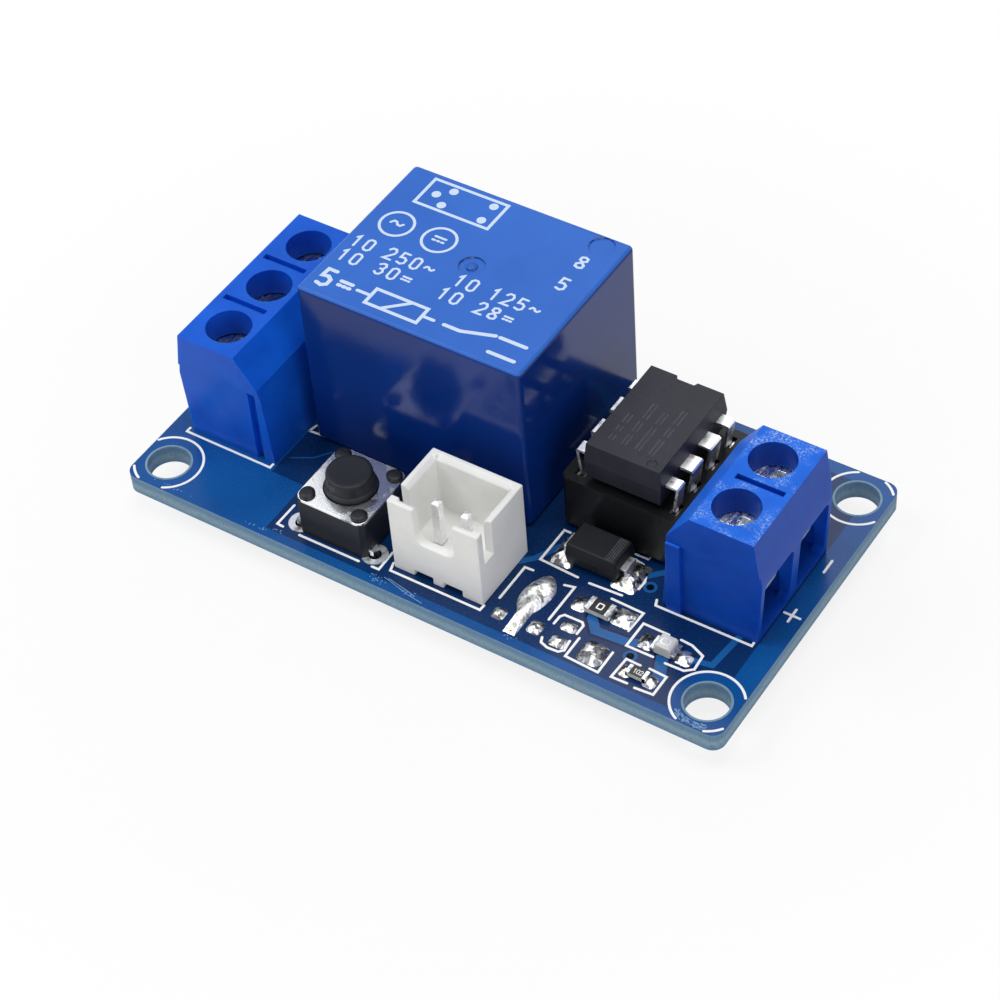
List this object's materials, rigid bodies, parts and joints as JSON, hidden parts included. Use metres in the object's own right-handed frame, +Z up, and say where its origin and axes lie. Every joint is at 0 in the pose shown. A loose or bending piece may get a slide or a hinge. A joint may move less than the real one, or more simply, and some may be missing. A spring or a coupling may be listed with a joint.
{
  "type": "relay module board",
  "caption": "Small blue circuit board with a relay, screw terminal blocks, push button, shrouded header and socketed chip, drilled at its corners for mounting screws.",
  "frame": {"origin": "centre of the four mounting holes on the board's underside", "axes": "+X along the board towards the two-way power terminal, +Y to the back edge, +Z up out of the component side"},
  "size_m": [0.051, 0.027, 0.0188],
  "materials": {
    "solder_mask": "deep blue solder mask on glass fibre, glossy",
    "relay_case": "bright blue moulded plastic, glossy",
    "bobbin_plastic": "black nylon, satin",
    "enamelled_copper": "enamelled copper wire, glossy",
    "soft_iron": "nickel-plated iron, satin",
    "tinned_metal": "tin-plated metal, bright",
    "contact_copper": "copper alloy strip, satin",
    "terminal_plastic": "saturated blue nylon, satin",
    "black_plastic": "black nylon, satin",
    "plate_steel": "pressed steel sheet, satin",
    "white_nylon": "off-white nylon, slightly translucent",
    "socket_plastic": "black glass-filled plastic, matt",
    "chip_epoxy": "dark grey moulding compound, matt",
    "resistor_film": "black glaze on ceramic, satin",
    "white_ceramic": "white laminate, satin",
    "clear_epoxy": "clear epoxy, glossy",
    "solder": "solder, bright and uneven",
    "plated_steel": "zinc-plated steel, bright"
  },
  "bodies": {
    "board": {"button_cover_plate": "plate_steel", "button_housing": "black_plastic", "button_legs": "tinned_metal", "button_snap_dome": "plate_steel", "chip_body": "chip_epoxy", "chip_leads": "tinned_metal", "chip_socket_body": "socket_plastic", "chip_socket_contacts": "tinned_metal", "circuit_board": "solder_mask", "diode_body": "chip_epoxy", "diode_leads": "tinned_metal", "header_housing": "white_nylon", "header_pins": "tinned_metal", "led_base": "white_ceramic", "led_lens": "clear_epoxy", "led_terminals": "tinned_metal", "output_terminal_housing": "terminal_plastic", "output_terminal_pins": "tinned_metal", "power_terminal_housing": "terminal_plastic", "power_terminal_pins": "tinned_metal", "relay_base": "relay_case", "relay_bobbin": "bobbin_plastic", "relay_coil": "enamelled_copper", "relay_coil_pins": "tinned_metal", "relay_common_pin": "tinned_metal", "relay_core": "soft_iron", "relay_cover": "relay_case", "relay_hinge_spring": "contact_copper", "relay_normally_closed_contact": "contact_copper", "relay_normally_open_contact": "contact_copper", "relay_yoke": "soft_iron", "resistor_bodies": "resistor_film", "resistor_terminals": "tinned_metal", "top_solder": "solder", "transistor_body": "chip_epoxy", "transistor_leads": "tinned_metal", "underside_solder": "solder"},
    "button": {"button_plunger": "black_plastic"},
    "armature": {"relay_armature": "soft_iron", "relay_contact_blade": "contact_copper"},
    "output_screw_1": {"output_screw_1": "plated_steel"},
    "output_clamp_1": {"output_clamp_1": "plated_steel"},
    "output_screw_2": {"output_screw_2": "plated_steel"},
    "output_clamp_2": {"output_clamp_2": "plated_steel"},
    "output_screw_3": {"output_screw_3": "plated_steel"},
    "output_clamp_3": {"output_clamp_3": "plated_steel"},
    "power_screw_1": {"power_screw_1": "plated_steel"},
    "power_clamp_1": {"power_clamp_1": "plated_steel"},
    "power_screw_2": {"power_screw_2": "plated_steel"},
    "power_clamp_2": {"power_clamp_2": "plated_steel"}
  },
  "joints": [
    {"name": "button_press", "type": "slide", "parent": "board", "child": "button", "axis": [0, 0, -1], "range_m": [0, 0.00025], "stiffness_N_per_m": 2000},
    {"name": "armature_swing", "type": "hinge", "parent": "board", "child": "armature", "pos_m": [0.00165, 0.00451, 0.0135], "axis": [0, -1, 0], "range_deg": [0, 2.5], "stiffness_Nm_per_rad": 0.002, "springref_deg": -2.86},
    {"name": "output_screw_turn_1", "type": "hinge", "parent": "board", "child": "output_screw_1", "pos_m": [-0.0206, -0.00471, 0.009], "axis": [0, 0, 1], "range_deg": [0, 1440]},
    {"name": "output_clamp_slide_1", "type": "slide", "parent": "board", "child": "output_clamp_1", "axis": [0, 0, -1], "range_m": [0, 0.0018]},
    {"name": "output_screw_turn_2", "type": "hinge", "parent": "board", "child": "output_screw_2", "pos_m": [-0.0206, 0.00037, 0.009], "axis": [0, 0, 1], "range_deg": [0, 1440]},
    {"name": "output_clamp_slide_2", "type": "slide", "parent": "board", "child": "output_clamp_2", "axis": [0, 0, -1], "range_m": [0, 0.0018]},
    {"name": "output_screw_turn_3", "type": "hinge", "parent": "board", "child": "output_screw_3", "pos_m": [-0.0206, 0.00545, 0.009], "axis": [0, 0, 1], "range_deg": [0, 1440]},
    {"name": "output_clamp_slide_3", "type": "slide", "parent": "board", "child": "output_clamp_3", "axis": [0, 0, -1], "range_m": [0, 0.0018]},
    {"name": "power_screw_turn_1", "type": "hinge", "parent": "board", "child": "power_screw_1", "pos_m": [0.0206, -0.00227, 0.009], "axis": [0, 0, 1], "range_deg": [0, 1440]},
    {"name": "power_clamp_slide_1", "type": "slide", "parent": "board", "child": "power_clamp_1", "axis": [0, 0, -1], "range_m": [0, 0.0018]},
    {"name": "power_screw_turn_2", "type": "hinge", "parent": "board", "child": "power_screw_2", "pos_m": [0.0206, 0.00281, 0.009], "axis": [0, 0, 1], "range_deg": [0, 1440]},
    {"name": "power_clamp_slide_2", "type": "slide", "parent": "board", "child": "power_clamp_2", "axis": [0, 0, -1], "range_m": [0, 0.0018]}
  ],
  "couplings": [
    {"joint": "output_screw_turn_1", "follows": "output_clamp_slide_1", "rad_per_m": 13963},
    {"joint": "output_screw_turn_2", "follows": "output_clamp_slide_2", "rad_per_m": 13963},
    {"joint": "output_screw_turn_3", "follows": "output_clamp_slide_3", "rad_per_m": 13963},
    {"joint": "power_screw_turn_1", "follows": "power_clamp_slide_1", "rad_per_m": 13963},
    {"joint": "power_screw_turn_2", "follows": "power_clamp_slide_2", "rad_per_m": 13963}
  ]
}
